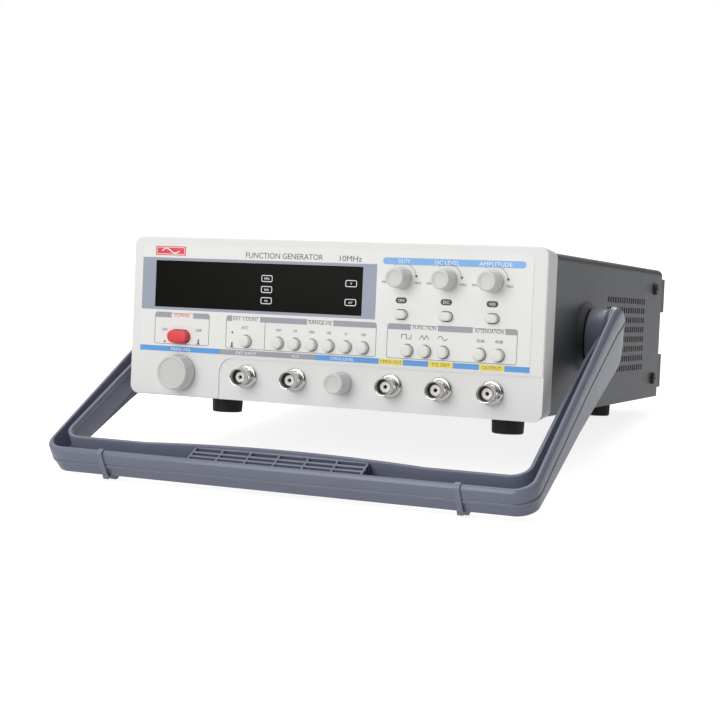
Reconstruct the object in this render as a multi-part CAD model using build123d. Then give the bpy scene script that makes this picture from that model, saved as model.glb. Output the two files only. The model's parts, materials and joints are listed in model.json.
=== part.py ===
from build123d import *
import math
import os

os.makedirs("parts", exist_ok=True)

# Bench function generator with a swing handle, standing on the handle and its two rear feet.
# Every piece is drawn with the instrument level: X to the user's right, Y into the case, Z up,
# and the origin at the middle of the front face's bottom edge. place() then tips the front up
# about X until the rear feet and the handle's pads touch the same level surface.

# ---- case ----
W = 240.0                 # front bezel width
H = 88.0                  # front bezel height
BEZEL_D = 22.0            # bezel depth
BEZEL_WALL = 3.0
BEZEL_TAPER_X = 2.0       # how much narrower each side of the bezel is at its back
BEZEL_TAPER_Z = 1.2
CASE_X = 117.0            # half width of the sheet metal case
CASE_Z0 = 2.0
CASE_Z1 = 86.0
CASE_D = 277.0            # back face of the case
CASE_R = 4.0              # bend radius of the cover
BUMPER_D = 11.0           # depth of the rear bumpers
SHEET = 1.2               # sheet metal thickness

# ---- front panel ----
LOWER_STEP = 0.6          # the connector field is set this far back
STEP_X = -63.5
STEP_Z = 22.8
OVERLAY = (-114.0, 112.5, 24.0, 83.7)    # x0, x1, z0, z1 of the printed overlay
OVERLAY_PROUD = 0.2
OVERLAY_T = 0.5
WINDOW = (-105.5, 20.0, 49.0, 74.8)      # display window
WINDOW_BACK = 2.4
SUB_Y = 3.2               # steel sub-panel behind the bezel's front wall
SUB_T = 1.2
BOARD_Y = 21.0            # display board
BOARD_T = 1.6

# ---- controls ----
BUTTON_R = 3.1
BUTTON_GAP = 0.4
BUTTON_PROUD = 3.4
BUTTON_TRAVEL = 2.5
STEM = 3.0                # square stem of a push button
ROW_Z = 32.4              # height of the round push buttons
RANGE_NAMES = ["10m", "1m", "100k", "10k", "1k", "100"]
RANGE_X0 = -28.0
RANGE_PITCH = 9.95
ROUND_BUTTONS = {"button_ext": -47.5}
for place_number, range_name in enumerate(RANGE_NAMES):
    ROUND_BUTTONS["button_range_" + range_name] = RANGE_X0 + RANGE_PITCH * place_number
ROUND_BUTTONS.update({"button_square": 46.5, "button_triangle": 56.4, "button_sine": 66.3})
ROUND_BUTTONS.update({"button_20db": 86.0, "button_40db": 95.9})
OVAL_BUTTONS = {"button_duty": 42.2, "button_offset": 67.0, "button_wide": 91.8}
OVAL_SIZE = (7.0, 4.6)
OVAL_Z = 50.8
POWER_X, POWER_Z = -88.9, 33.0
POWER_SIZE = (12.6, 7.0)
POWER_PROUD = 4.0
POWER_TRAVEL = 3.0
SMALL_KNOBS = {"knob_duty": 42.0, "knob_dc_level": 66.8, "knob_amplitude": 91.5}
SMALL_KNOB_Z = 69.5
SMALL_KNOB_R = 5.5
SMALL_KNOB_L = 10.3
FREQ_KNOB = (-88.2, 13.3)
FREQ_KNOB_R = 10.0
FREQ_KNOB_L = 8.2
CMOS_KNOB = (9.8, 13.2)
CMOS_KNOB_R = 6.0
KNOB_GAP = 1.0            # between a knob and the panel
SHAFT_R = 3.0
SHAFT_FIT = 0.05          # running clearance of a shaft in its bushing

# ---- BNC jacks ----
BNC_X = [-46.7, -17.2, 37.8, 65.4, 93.1]
BNC_Z = 13.2
BNC_R = 4.8               # barrel in front of its lugs
BNC_NECK_R = 4.6          # barrel behind the lugs and through the panel
BNC_LENGTH = 9.2          # barrel length in front of its flange
BNC_FLANGE_R = 6.5
BNC_FLANGE_T = 1.5
BNC_BORE_R = 4.05
BNC_BORE_DEPTH = 8.2
BNC_LUG_R = 1.0
BNC_LUG_REACH = 5.5
BNC_LUG_Y = 5.0           # lugs stand this far in front of the flange
INSULATOR_R = 2.8
CONTACT_R = 1.1

# ---- handle ----
# Handle sizes are along U, from the pivot to the grip, and N, square to it and up in front.
PIVOT_Y, PIVOT_Z = 88.0, 41.7
HANDLE_ANGLE = 30.0       # how far the handle points below the case's own level
HANDLE_L = 163.9          # pivot to the grip's outer face
HANDLE_X = 135.8          # half width over the arms
ARM_T = 7.8
GRIP_N = 6.8              # the grip's middle is this far above the line through the pivot
ARM_END_R = 17.8
ARM_TAPER_END = 150.0     # distance from the pivot where the arms reach the grip's height
GRIP_DEPTH = 13.9
GRIP_H = 15.2
CORNER_R = 12.0           # outer corners, seen from above
INNER_CORNER_R = 8.5
OUTER_WALL = 2.8
INNER_WALL = 2.0
CHANNEL_FLOOR = 3.0
CHANNEL_START = 30.0
INNER_WALL_DROP = 0.3
RIDGE_N = 7.1             # the outer face steps back below this line
RIDGE_STEP = 0.7
GRIP_BULGE = 3.5          # how far the grip swells towards the case at its middle
BULGE_HALF = 78.0
GRILLE_HALF = 48.0        # from the middle to the last cross bar
GRILLE_COLUMNS = 6
GRILLE_ROWS = [(150.3, 153.0), (154.3, 156.5), (157.8, 161.1)]    # U of each row of wells
GRILLE_DROP = 0.8         # the bars lie this far below the inner wall
GRILLE_BAR = 1.3
GRILLE_DEPTH = 5.0
BOSS_R = 16.5
BOSS_GAP = 0.5            # between the boss and its plate
PLATE_R = 20.5
PLATE_T = 3.0
PLATE_SLOPE = 2.0
DETENT_R = 10.0           # ring of teeth that holds the handle's angle
DETENT_T = 2.4
DETENT_TEETH = 24
PIVOT_R = 4.0
BOLT_HEAD_R = 6.0
BOLT_SEAT = 131.0         # X of the arm's seat under the pivot bolt's head
CAP_X = 133.4             # X of the cover cap's inner face
CAP_R = 9.0
COLLAR_X = 98.5
COLLAR_W = 3.0
COLLAR_PROUD = 0.8
PAD_U, PAD_N, PAD_R = 156.6, -2.4, 4.0    # centre and radius of the pads that the grip stands on

# ---- feet ----
FOOT_X = 85.9
FOOT_Y = [52.7, 240.0]
FOOT_R = 8.6
FOOT_Z = -11.0
FOOT_EDGE = 1.0
FOOT_POCKET = 8.4         # depth of the hollow that takes the foot's screw

# ---- inside ----
PCB_Z = 11.0
PCB_X0, PCB_X1, PCB_Y0, PCB_Y1 = -70.0, 106.0, 45.0, 205.0
POST_POINTS = [(-64, 51), (100, 51), (-64, 125), (100, 125), (-64, 199), (100, 199)]
CORE = (-88.0, 232.0)     # transformer centre
INLET = (-58.0, 46.0)     # mains inlet centre on the rear panel
DRAWER = (22.0, 7.0)      # fuse drawer in the inlet
DRAWER_GAP = 0.3
SIDE_SCREWS = [(255.5, 73.0), (259.5, 14.5)]
SIDE_SCREW_R = 3.8

# ---- vents ----
VENT_ROWS = 8
VENT_Z0, VENT_PITCH_Z = 22.8, 5.9
VENT_COLUMNS = 17
VENT_Y0, VENT_PITCH_Y = 133.5, 5.75
VENT_W, VENT_H = 3.2, 3.4

LOW = (Align.CENTER, Align.CENTER, Align.MIN)
PIECES = {}


def front(y):
    """Sketch plane facing the user, y behind the front face: sketches are (x, z)."""
    return Plane.XZ.offset(-y)


def prism(sketch, y0, y1):
    """A sketch drawn in (x, z), filled from y0 to y1."""
    return extrude(front(y1) * sketch, amount=y1 - y0)


def disc(x, z, radius, y0, y1):
    return prism(Pos(x, z) * Circle(radius), y0, y1)


def cone(x, z, r_front, r_back, y0, y1):
    return loft([front(y1) * Pos(x, z) * Circle(r_back), front(y0) * Pos(x, z) * Circle(r_front)])


def block(x0, x1, y0, y1, z0, z1):
    size = Box(x1 - x0, y1 - y0, z1 - z0)
    return Pos((x0 + x1) / 2, (y0 + y1) / 2, (z0 + z1) / 2) * size


def side_disc(y, z, radius, x0, x1):
    """A disc whose axis is X."""
    return extrude(Plane.YZ.offset(x0) * Pos(y, z) * Circle(radius), amount=x1 - x0)


def both_sides(solid):
    """The solid and its mirror image on the left."""
    return [solid, mirror(solid, Plane.YZ)]


def rect(x0, x1, z0, z1, radius=0.0):
    middle = Pos((x0 + x1) / 2, (z0 + z1) / 2)
    if radius:
        return middle * RectangleRounded(x1 - x0, z1 - z0, radius)
    return middle * Rectangle(x1 - x0, z1 - z0)


def grow(box, margin):
    return (box[0] - margin, box[1] + margin, box[2] - margin, box[3] + margin)


def panel_openings():
    """Every hole that the bezel, the overlay and the sub-panel share."""
    cap = BUTTON_R + BUTTON_GAP
    holes = [Pos(x, ROW_Z) * Circle(cap) for x in ROUND_BUTTONS.values()]
    oval_w, oval_h = (size + 2 * BUTTON_GAP for size in OVAL_SIZE)
    holes += [Pos(x, OVAL_Z) * SlotOverall(oval_w, oval_h) for x in OVAL_BUTTONS.values()]
    power_w, power_h = (size + 2 * BUTTON_GAP for size in POWER_SIZE)
    holes.append(Pos(POWER_X, POWER_Z) * SlotOverall(power_w, power_h))
    holes += [Pos(x, SMALL_KNOB_Z) * Circle(SHAFT_R + 1.2) for x in SMALL_KNOBS.values()]
    return holes


def lower_openings():
    """Holes of the connector field, which the overlay doesn't reach."""
    holes = [Pos(*FREQ_KNOB) * Circle(SHAFT_R + 1.2), Pos(*CMOS_KNOB) * Circle(SHAFT_R + 1.2)]
    return holes + [Pos(x, BNC_Z) * Circle(BNC_NECK_R) for x in BNC_X]


def cut_holes(solid, holes, y0, y1):
    return solid - [prism(hole, y0, y1) for hole in holes]


def make_front():
    """Moulded bezel, printed overlay, display window and steel sub-panel."""
    middle = Pos(0, H / 2)
    back = RectangleRounded(W - 2 * BEZEL_TAPER_X, H - 2 * BEZEL_TAPER_Z, CASE_R)
    bezel = loft([front(BEZEL_D) * middle * back, front(0) * middle * RectangleRounded(W, H, 5)])
    bezel = fillet(bezel.faces().sort_by(Axis.Y)[0].edges(), 0.9)
    inner = RectangleRounded(W - 2 * BEZEL_TAPER_X - 5, H - 2 * BEZEL_TAPER_Z - 5, 3)
    bezel -= prism(middle * inner, BEZEL_WALL, BEZEL_D + 1)
    field = rect(STEP_X, W / 2 + 1, -10, STEP_Z, 8) + rect(0, W / 2 + 1, -10, STEP_Z)
    bezel -= prism(field, -1, LOWER_STEP)
    bezel -= prism(rect(*OVERLAY, 3.5), -1, OVERLAY_T - OVERLAY_PROUD)
    bezel -= prism(rect(*grow(WINDOW, 0.1)), -1, BEZEL_WALL + 1)
    PIECES["front_bezel"] = cut_holes(bezel, panel_openings() + lower_openings(), -1, BEZEL_WALL + 1)

    overlay = prism(rect(*OVERLAY, 3.5), -OVERLAY_PROUD, OVERLAY_T - OVERLAY_PROUD)
    overlay -= prism(rect(*WINDOW), -1, 1)
    PIECES["front_overlay"] = cut_holes(overlay, panel_openings(), -1, 1)
    PIECES["display_window"] = prism(rect(*WINDOW), 0.0, WINDOW_BACK)

    sub = prism(rect(-112, 112, 5, 83), SUB_Y, SUB_Y + SUB_T)
    sub += block(-112, 112, SUB_Y, SUB_Y + 12, 81.8, 83) + block(-112, 112, SUB_Y, SUB_Y + 12, 5, 6.2)
    sub -= prism(rect(*grow(WINDOW, -1.5)), 0, SUB_Y + 2)
    PIECES["sub_panel"] = cut_holes(sub, panel_openings() + lower_openings(), 0, SUB_Y + 2)


def vent_points():
    return [(VENT_Y0 + VENT_PITCH_Y * column, VENT_Z0 + VENT_PITCH_Z * row)
            for row in range(VENT_ROWS) for column in range(VENT_COLUMNS)]


def make_case():
    """Sheet metal cover, bottom tray and rear panel."""
    middle = Pos(0, (CASE_Z0 + CASE_Z1) / 2)
    tall = CASE_Z1 - CASE_Z0
    cover = prism(middle * RectangleRounded(2 * CASE_X, tall, CASE_R), BEZEL_D, CASE_D)
    inside = RectangleRounded(2 * (CASE_X - SHEET), tall - 2 * SHEET, CASE_R - SHEET)
    cover -= prism(middle * inside, BEZEL_D - 1, CASE_D + 1)
    cover -= block(-CASE_X + SHEET, CASE_X - SHEET, BEZEL_D - 1, CASE_D + 1, -5, 20)
    square = block(-CASE_X, -CASE_X + SHEET, BEZEL_D, CASE_D, CASE_Z0, CASE_Z0 + CASE_R)
    cover += both_sides(square)
    cover -= [block(-CASE_X - 1, CASE_X + 1, y, y + VENT_W, z - VENT_H / 2, z + VENT_H / 2)
              for y, z in vent_points()]
    cover -= [side_disc(y, z, 1.6, -CASE_X - 1, CASE_X + 1) for y, z in SIDE_SCREWS]
    cover -= side_disc(PIVOT_Y, PIVOT_Z, PIVOT_R, -CASE_X - 1, CASE_X + 1)
    PIECES["top_cover"] = cover

    inner_x = CASE_X - SHEET
    tray = block(-inner_x, inner_x, BEZEL_D, CASE_D, CASE_Z0, CASE_Z0 + SHEET)
    rim = block(inner_x - SHEET, inner_x, BEZEL_D, CASE_D - 30, CASE_Z0, 16)
    tray += both_sides(rim)
    tray += block(-inner_x, inner_x, BEZEL_D, BEZEL_D + SHEET, CASE_Z0, 12)
    tray -= [Pos(x, y, CASE_Z0) * Cylinder(1.6, 10) for x, y in foot_points()]
    tray -= [Pos(x, y, CASE_Z0) * Cylinder(1.5, 10) for x, y in POST_POINTS]
    slot_row = [block(x, x + 3, 90, 170, 0, 5) for x in range(-60, 100, 8)]
    PIECES["bottom_tray"] = tray - slot_row

    z0, z1 = CASE_Z0 + SHEET, CASE_Z1 - SHEET
    rear = block(-inner_x, inner_x, CASE_D - SHEET, CASE_D, z0, z1)
    rear -= both_sides(block(inner_x - CASE_R, inner_x + 1, CASE_D - 5, CASE_D + 1, z1 - CASE_R, z1 + 1))
    rear += both_sides(block(inner_x - SHEET, inner_x, CASE_D - 26, CASE_D, z0, z1 - CASE_R))
    rear -= [side_disc(y, z, 1.6, -CASE_X - 1, CASE_X + 1) for y, z in SIDE_SCREWS]
    rear -= prism(Pos(*INLET) * Rectangle(27.6, 31.0), CASE_D - 3, CASE_D + 1)
    rear -= [block(x, x + 3, CASE_D - 3, CASE_D + 1, 24, 64) for x in range(-10, 81, 8)]
    PIECES["rear_panel"] = rear


def foot_points():
    return [(side * FOOT_X, y) for side in (-1, 1) for y in FOOT_Y]


def make_feet():
    """Rubber feet, their screws and the four rear bumpers."""
    feet, screws = [], []
    for x, y in foot_points():
        foot = Cone(FOOT_R, FOOT_R + 0.5, CASE_Z0 - FOOT_Z, align=LOW)
        foot = Pos(x, y, FOOT_Z) * foot
        foot = fillet(foot.edges().sort_by(Axis.Z)[0], FOOT_EDGE)
        foot -= Pos(x, y, FOOT_Z) * Cylinder(4.2, FOOT_POCKET, align=LOW)
        feet.append(foot - Pos(x, y, 0) * Cylinder(1.6, 30))
        head_top = FOOT_Z + FOOT_POCKET
        screw = Pos(x, y, head_top - 2.4) * Cylinder(3.0, 2.4, align=LOW)
        shank = Cylinder(1.6, CASE_Z0 + SHEET - head_top, align=LOW)
        screws.append(screw + Pos(x, y, head_top) * shank)
    PIECES["rubber_feet"] = feet
    PIECES["foot_screws"] = screws

    bumpers = []
    for z0 in (8.0, 58.0):
        pad = block(94, CASE_X, CASE_D, CASE_D + BUMPER_D, z0, z0 + 22)
        pad = chamfer(pad.faces().sort_by(Axis.Y)[-1].edges(), 2)
        bumpers += both_sides(pad)
    PIECES["rear_bumpers"] = bumpers


def pan_head(y, z, x_face):
    """A cover screw whose head stands on the right side of the case."""
    head = side_disc(y, z, SIDE_SCREW_R, x_face, x_face + 2.4)
    head = fillet(head.edges().sort_by(Axis.X)[-1], 1.0)
    cross = block(x_face + 1.2, x_face + 3, y - 1.7, y + 1.7, z - 0.4, z + 0.4)
    cross += block(x_face + 1.2, x_face + 3, y - 0.4, y + 0.4, z - 1.7, z + 1.7)
    return head - cross + side_disc(y, z, 1.6, x_face - 7, x_face)


def make_screws():
    screws = []
    for y, z in SIDE_SCREWS:
        screws += both_sides(pan_head(y, z, CASE_X))
    PIECES["cover_screws"] = screws


def make_button(name, outline, stem_at, proud):
    """A cap in the panel with a square stem that reaches into its switch."""
    x, z = stem_at
    cap = prism(outline, -proud, 1.0)
    cap = fillet(cap.faces().sort_by(Axis.Y)[0].edges(), 0.6)
    PIECES[name] = cap + block(x - STEM / 2, x + STEM / 2, 1.0, 13.0, z - STEM / 2, z + STEM / 2)


def switch_body(x, z, width):
    body = block(x - width / 2, x + width / 2, 9.5, BOARD_Y, z - 4.1, z + 4.1)
    well = STEM / 2 + 0.4
    return body - block(x - well, x + well, 9, 18.5, z - well, z + well)


def make_buttons():
    """Sixteen push buttons and the switches behind them."""
    switches = []
    for name, x in ROUND_BUTTONS.items():
        make_button(name, Pos(x, ROW_Z) * Circle(BUTTON_R), (x, ROW_Z), BUTTON_PROUD)
        switches.append(switch_body(x, ROW_Z, 8.4))
    for name, x in OVAL_BUTTONS.items():
        make_button(name, Pos(x, OVAL_Z) * SlotOverall(*OVAL_SIZE), (x, OVAL_Z), BUTTON_PROUD)
        switches.append(switch_body(x, OVAL_Z, 8.4))
    PIECES["push_switches"] = switches
    power_at = (POWER_X, POWER_Z)
    make_button("button_power", Pos(*power_at) * SlotOverall(*POWER_SIZE), power_at, POWER_PROUD)
    body = block(POWER_X - 9, POWER_X + 9, 9.5, 40, POWER_Z - 7, POWER_Z + 7)
    well = STEM / 2 + 0.4
    well_box = block(POWER_X - well, POWER_X + well, 9, 20, POWER_Z - well, POWER_Z + well)
    PIECES["power_switch"] = body - well_box


def make_knob(x, z, radius, length, face):
    """A tapered knob with a dished front, its back KNOB_GAP in front of the panel."""
    back = face - KNOB_GAP
    knob = cone(x, z, radius * 0.93, radius, back - length, back)
    knob = fillet(knob.edges().sort_by(Axis.Y)[0], 0.9)
    groove = disc(x, z, radius * 0.72, back - length - 1, back - length + 0.3)
    return knob - (groove - disc(x, z, radius * 0.62, back - length - 2, back - length + 1))


def pot_body(x, z):
    body = block(x - 6.5, x + 6.5, 10.5, BOARD_Y, z - 6.0, z + 6.0)
    bushing = disc(x, z, 4.0, SUB_Y + SUB_T, 10.5)
    return body + bushing - disc(x, z, SHAFT_R + SHAFT_FIT, 0, 18)


def make_knobs():
    """Five potentiometers; the small knobs are moulded with their own shafts."""
    pots = []
    for name, x in SMALL_KNOBS.items():
        knob = make_knob(x, SMALL_KNOB_Z, SMALL_KNOB_R, SMALL_KNOB_L, -OVERLAY_PROUD)
        PIECES[name] = knob + disc(x, SMALL_KNOB_Z, SHAFT_R, -KNOB_GAP - OVERLAY_PROUD, 16)
        pots.append(pot_body(x, SMALL_KNOB_Z))
    knob = make_knob(*CMOS_KNOB, CMOS_KNOB_R, SMALL_KNOB_L, LOWER_STEP)
    PIECES["knob_cmos_level"] = knob + disc(*CMOS_KNOB, SHAFT_R, LOWER_STEP - KNOB_GAP, 16)
    pots.append(pot_body(*CMOS_KNOB))
    knob = make_knob(*FREQ_KNOB, FREQ_KNOB_R, FREQ_KNOB_L, 0.0)
    PIECES["knob_frequency"] = knob - disc(*FREQ_KNOB, SHAFT_R, -7, 0)
    PIECES["frequency_shaft"] = disc(*FREQ_KNOB, SHAFT_R, -7, 16)
    pots.append(pot_body(*FREQ_KNOB))
    PIECES["pot_bodies"] = pots


def make_jacks():
    """Five BNC jacks with their insulators, contacts and nuts."""
    shells, insulators, contacts, nuts = [], [], [], []
    face = LOWER_STEP
    flange = face - BNC_FLANGE_T
    mouth = flange - BNC_LENGTH
    for x in BNC_X:
        shell = disc(x, BNC_Z, BNC_FLANGE_R, flange, face)
        shell = chamfer(shell.edges().sort_by(Axis.Y)[0], 0.5)
        lug_y = flange - BNC_LUG_Y
        shell += disc(x, BNC_Z, BNC_R, mouth, lug_y - BNC_LUG_R)
        shell += disc(x, BNC_Z, BNC_NECK_R, lug_y - BNC_LUG_R, 12)
        shell += side_disc(lug_y, BNC_Z, BNC_LUG_R, x - BNC_LUG_REACH, x + BNC_LUG_REACH)
        shell -= disc(x, BNC_Z, BNC_BORE_R, mouth - 1, mouth + BNC_BORE_DEPTH)
        shell -= disc(x, BNC_Z, INSULATOR_R, 0, 13) + disc(x, BNC_Z, INSULATOR_R, mouth, 1)
        shells.append(shell)
        insulator = disc(x, BNC_Z, INSULATOR_R, mouth + 3.6, 13.5)
        insulators.append(insulator - disc(x, BNC_Z, CONTACT_R, mouth + 3, 14))
        contact = disc(x, BNC_Z, CONTACT_R, mouth + 4.6, 17)
        contacts.append(contact - disc(x, BNC_Z, 0.7, mouth + 4, mouth + 10))
        nut = prism(Pos(x, BNC_Z) * RegularPolygon(6.6, 6, major_radius=False), SUB_Y + SUB_T, 7)
        nuts.append(nut - disc(x, BNC_Z, BNC_NECK_R, 4, 8))
    PIECES["bnc_shells"] = shells
    PIECES["bnc_insulators"] = insulators
    PIECES["bnc_contacts"] = contacts
    PIECES["bnc_nuts"] = nuts


def make_inside():
    """Display board and digits, main board, transformer, heat sink and capacitors."""
    board = block(-108, 108, BOARD_Y, BOARD_Y + BOARD_T, 26, 79) - block(-109, -66, 20, 24, 25, 46)
    PIECES["display_board"] = board
    digits = [block(x, x + 29.6, 10, BOARD_Y, 54, 70) for x in (-103.4, -73.4)]
    digits.append(block(-28, 6, 10, BOARD_Y, 54, 70))
    PIECES["display_digits"] = digits

    board = block(PCB_X0, PCB_X1, PCB_Y0, PCB_Y1, PCB_Z, PCB_Z + BOARD_T)
    board -= [Pos(x, y, PCB_Z) * Cylinder(1.5, 10) for x, y in POST_POINTS]
    PIECES["main_board"] = board
    tray_top = CASE_Z0 + SHEET
    posts, screws = [], []
    for x, y in POST_POINTS:
        post = Pos(x, y, tray_top) * Cylinder(3.0, PCB_Z - tray_top, align=LOW)
        posts.append(post - Pos(x, y, 0) * Cylinder(1.5, 40))
        screw = Pos(x, y, PCB_Z + BOARD_T) * Cylinder(2.8, 2.0, align=LOW)
        screws.append(screw + Pos(x, y, PCB_Z - 5) * Cylinder(1.5, 5 + BOARD_T, align=LOW))
    PIECES["board_posts"] = posts
    PIECES["board_screws"] = screws

    x, y = CORE
    core = block(x - 24, x + 24, y - 21, y + 21, tray_top, 62)
    coil = block(x - 15, x + 15, y - 30, y + 30, 14, 51)
    PIECES["transformer_core"] = core - block(x - 15, x + 15, y - 40, y + 40, 14, 51)
    PIECES["transformer_coil"] = coil
    fins = block(20, 90, 224, 229, tray_top, 60)
    fins += [block(fin, fin + 2, 229, 244, tray_top, 60) for fin in range(20, 90, 8)]
    PIECES["heat_sink"] = fins
    board_top = PCB_Z + BOARD_T
    cans = [(-50, 190, 9, 32), (-28, 190, 9, 32), (-50, 165, 6, 22), (-32, 165, 6, 22), (-14, 165, 6, 22)]
    PIECES["capacitors"] = [Pos(a, b, board_top) * Cylinder(r, tall, align=LOW) for a, b, r, tall in cans]


def make_inlet():
    """Mains inlet with an earth, live and neutral pin, and its fuse drawer."""
    x, z = INLET
    inlet = prism(Pos(x, z) * RectangleRounded(31, 35, 2), CASE_D, CASE_D + 2.5)
    inlet += prism(Pos(x, z) * Rectangle(27.2, 30.6), CASE_D - 24, CASE_D)
    inlet -= prism(rect(x - 12, x + 12, z - 4, z + 13), CASE_D - 16, CASE_D + 3)
    drawer_at = Pos(x, z - 10.5)
    slot = Rectangle(DRAWER[0] + 2 * DRAWER_GAP, DRAWER[1] + 2 * DRAWER_GAP)
    inlet -= prism(drawer_at * slot, CASE_D - 19.5, CASE_D + 3)
    for pin_x, pin_z in ((x - 7, z + 2), (x + 7, z + 2), (x, z + 7)):
        inlet += block(pin_x - 1, pin_x + 1, CASE_D - 17, CASE_D - 4, pin_z - 2, pin_z + 2)
    PIECES["mains_inlet"] = inlet
    drawer = prism(drawer_at * Rectangle(*DRAWER), CASE_D - 19, CASE_D + 3.2)
    PIECES["fuse_drawer"] = drawer - prism(rect(x - 4, x + 4, z - 15, z - 12.6), CASE_D + 1, CASE_D + 4)


def plan(x_half, front_u, radius, back_u):
    """Plan of the handle's outline: a slab from back_u to front_u with rounded front corners."""
    slab = Pos(0, -(front_u + back_u) / 2) * Rectangle(2 * x_half, front_u - back_u)
    if radius:
        slab = fillet(slab.vertices().group_by(Axis.Y)[0], radius)
    return slab


def handle_side(drop=0.0):
    """Side view of the handle, with its upper edge lowered by drop: a disc narrowing to the grip."""
    far = HANDLE_L + 10
    middle_n, tall = GRIP_N - drop / 2, GRIP_H - drop
    grip_start = Pos(-ARM_TAPER_END - 1, middle_n) * Rectangle(2, tall)
    outline = make_hull(Circle(ARM_END_R - drop).edges() + grip_start.edges())
    outline += Pos(-(ARM_TAPER_END + far) / 2, middle_n) * Rectangle(far - ARM_TAPER_END, tall)
    return extrude(Plane.YZ * outline, amount=HANDLE_X + 5, both=True)


def grip_inner(inset, back_u):
    """Plan of the space inside the handle, less the bulge of the grip, grown by the inset."""
    u = HANDLE_L - GRIP_DEPTH + inset
    inner = plan(HANDLE_X - ARM_T + inset, u, INNER_CORNER_R + inset, back_u)
    arc = ThreePointArc((-BULGE_HALF, -u), (0, -u + GRIP_BULGE), (BULGE_HALF, -u))
    return inner - make_face(Curve() + [arc, Line((BULGE_HALF, -u), (-BULGE_HALF, -u))])


def outline_plan(inset, back_u):
    return plan(HANDLE_X - inset, HANDLE_L - inset, CORNER_R - inset, back_u)


def upright(sketch, n0=-40.0, n1=40.0):
    return extrude(Pos(0, 0, n0) * sketch, amount=n1 - n0)


def cut_grille(frame, top):
    """Eighteen small wells in the top of the grip, left between crossing bars."""
    pitch = 2 * GRILLE_HALF / GRILLE_COLUMNS
    wells = []
    for column in range(GRILLE_COLUMNS):
        x0 = -GRILLE_HALF + pitch * column + GRILLE_BAR / 2
        for u0, u1 in GRILLE_ROWS:
            wells.append(block(x0, x0 + pitch - GRILLE_BAR, -u1, -u0, top - GRILLE_DEPTH, top + 10))
    return frame - wells


def make_handle_frame():
    """One moulding: two arms and a grip, a channel that opens to one side, bosses at the ends."""
    back_u = -ARM_END_R - 5
    body = upright(outline_plan(0, back_u) - grip_inner(0, back_u - 1)) & handle_side()
    body -= upright(outline_plan(0, back_u) - outline_plan(RIDGE_STEP, back_u - 1), -40, RIDGE_N)

    top = GRIP_N + GRIP_H / 2 - INNER_WALL_DROP
    bottom = GRIP_N - GRIP_H / 2 + CHANNEL_FLOOR
    walls = outline_plan(OUTER_WALL, CHANNEL_START) - grip_inner(INNER_WALL, CHANNEL_START - 1)
    channel = upright(walls, bottom)
    grille_end = GRILLE_HALF + GRILLE_BAR / 2
    inner_u = HANDLE_L - GRIP_DEPTH - GRIP_BULGE
    bars = block(-grille_end, grille_end, -HANDLE_L, -inner_u, -40, top - GRILLE_DROP)
    body -= channel - bars
    rim = upright(outline_plan(OUTER_WALL, CHANNEL_START) - grip_inner(-1, CHANNEL_START - 1), 0)
    body -= rim - handle_side(INNER_WALL_DROP)
    body = cut_grille(body, top - GRILLE_DROP)

    body += both_sides(side_disc(0, 0, BOSS_R, CASE_X + PLATE_T + BOSS_GAP, HANDLE_X - ARM_T + 2))
    body -= both_sides(side_disc(0, 0, PIVOT_R + SHAFT_FIT, 100, HANDLE_X + 1))
    body -= both_sides(side_disc(0, 0, BOLT_HEAD_R + 0.3, BOLT_SEAT, HANDLE_X + 1))
    body -= both_sides(side_disc(0, 0, CAP_R, CAP_X, HANDLE_X + 1))
    body -= both_sides(side_disc(0, 0, DETENT_R + 1.5, 100, CASE_X + PLATE_T + DETENT_T + 1.1))
    return body


def make_collar(frame):
    """A rib over the grip's outer wall that runs on under the grip to a round pad."""
    x0, x1 = COLLAR_X - COLLAR_W / 2, COLLAR_X + COLLAR_W / 2
    bottom = GRIP_N - GRIP_H / 2 - COLLAR_PROUD
    top = GRIP_N + GRIP_H / 2 + COLLAR_PROUD
    rib = block(x0, x1, -HANDLE_L - COLLAR_PROUD, OUTER_WALL - HANDLE_L, bottom, top)
    rib = fillet(rib.edges().filter_by(Axis.X).group_by(Axis.Y)[0].sort_by(Axis.Z)[-1], 2.2)
    sole = block(x0, x1, -HANDLE_L - COLLAR_PROUD, -PAD_U, bottom, bottom + COLLAR_PROUD)
    return rib + sole + side_disc(-PAD_U, PAD_N, PAD_R, x0, x1) - frame


def make_handle():
    frame = make_handle_frame()
    collar = make_collar(frame)
    cap = side_disc(0, 0, CAP_R, CAP_X, HANDLE_X)
    swing = Pos(0, PIVOT_Y, PIVOT_Z) * Rot(HANDLE_ANGLE, 0, 0)
    PIECES["handle_frame"] = swing * frame
    PIECES["handle_collars"] = [swing * piece for piece in both_sides(collar)]
    PIECES["pivot_caps"] = [swing * piece for piece in both_sides(cap)]

    face = CASE_X + PLATE_T
    rims = [Plane.YZ.offset(CASE_X) * Circle(PLATE_R), Plane.YZ.offset(face) * Circle(PLATE_R - PLATE_SLOPE)]
    ring = side_disc(0, 0, DETENT_R, face, face + DETENT_T)
    tooth = block(face, face + DETENT_T, DETENT_R - 0.4, DETENT_R + 0.9, -0.6, 0.6)
    teeth = [Rot(360 / DETENT_TEETH * turn, 0, 0) * tooth for turn in range(DETENT_TEETH)]
    plate = loft(rims) + ring + teeth - side_disc(0, 0, PIVOT_R, CASE_X - 1, face + DETENT_T + 1)
    bolt = side_disc(0, 0, PIVOT_R, CASE_X - 8, BOLT_SEAT + 0.3)
    bolt += side_disc(0, 0, BOLT_HEAD_R, BOLT_SEAT + 0.3, CAP_X - 0.3)
    bolt += extrude(Plane.YZ.offset(CASE_X - 5.2) * RegularPolygon(7, 6), amount=4.0)
    pivot = Pos(0, PIVOT_Y, PIVOT_Z)
    PIECES["pivot_plates"] = [pivot * piece for piece in both_sides(plate)]
    PIECES["pivot_bolts"] = [pivot * piece for piece in both_sides(bolt)]


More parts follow.
